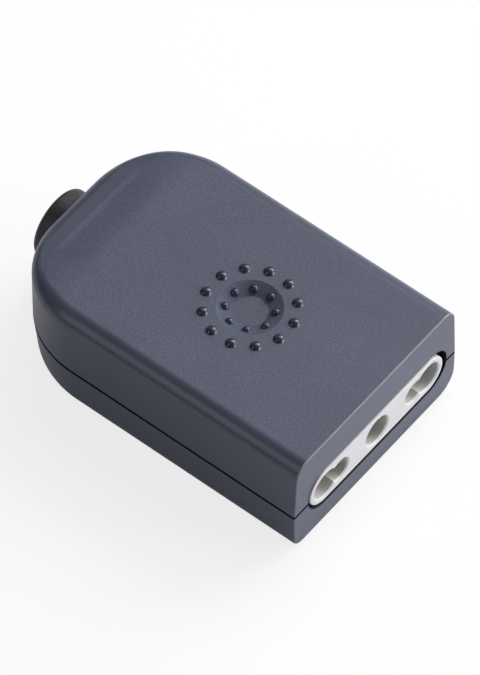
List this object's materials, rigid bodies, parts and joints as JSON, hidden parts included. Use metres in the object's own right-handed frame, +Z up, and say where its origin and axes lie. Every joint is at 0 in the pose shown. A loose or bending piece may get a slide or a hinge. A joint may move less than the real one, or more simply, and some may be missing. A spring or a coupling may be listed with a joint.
{
  "type": "in-line power socket",
  "caption": "Flat in-line mains socket: dark clamshell case with a dished, dotted top, white insert with keyhole line holes behind a sprung shutter, round earth hole and rear cord bushing.",
  "frame": {"origin": "under the middle of the whole part, on the surface it rests on", "axes": "+Z up, +Y along the part from the socket face to the cord end, +X across the face"},
  "size_m": [0.0412, 0.0652, 0.0214],
  "materials": {
    "case_plastic": "fine spark-eroded grain",
    "insert_plastic": "smooth moulded",
    "shutter_plastic": "smooth moulded",
    "clamp_plastic": "smooth moulded",
    "bushing_rubber": "satin",
    "contact_brass": "bright rolled",
    "screw_steel": "zinc plated",
    "spring_steel": "drawn wire"
  },
  "bodies": {
    "housing": {"upper_shell": "case_plastic", "lower_shell": "case_plastic", "socket_insert": "insert_plastic", "contact_carrier": "insert_plastic", "shutter_springs": "spring_steel", "line_contact": "contact_brass", "neutral_contact": "contact_brass", "earth_contact": "contact_brass", "line_terminal": "contact_brass", "neutral_terminal": "contact_brass", "earth_terminal": "contact_brass", "terminal_screws": "screw_steel", "cord_bushing": "bushing_rubber", "cord_clamp": "clamp_plastic", "clamp_screws": "screw_steel", "housing_screws": "screw_steel"},
    "shutter": {"safety_shutter": "shutter_plastic"}
  },
  "joints": [
    {"name": "shutter_lift", "type": "slide", "parent": "housing", "child": "shutter", "axis": [0, 0, 1], "range_m": [0, 0.00445], "stiffness_N_per_m": 120, "springref_m": -0.003, "deforming": ["shutter_springs"]}
  ]
}
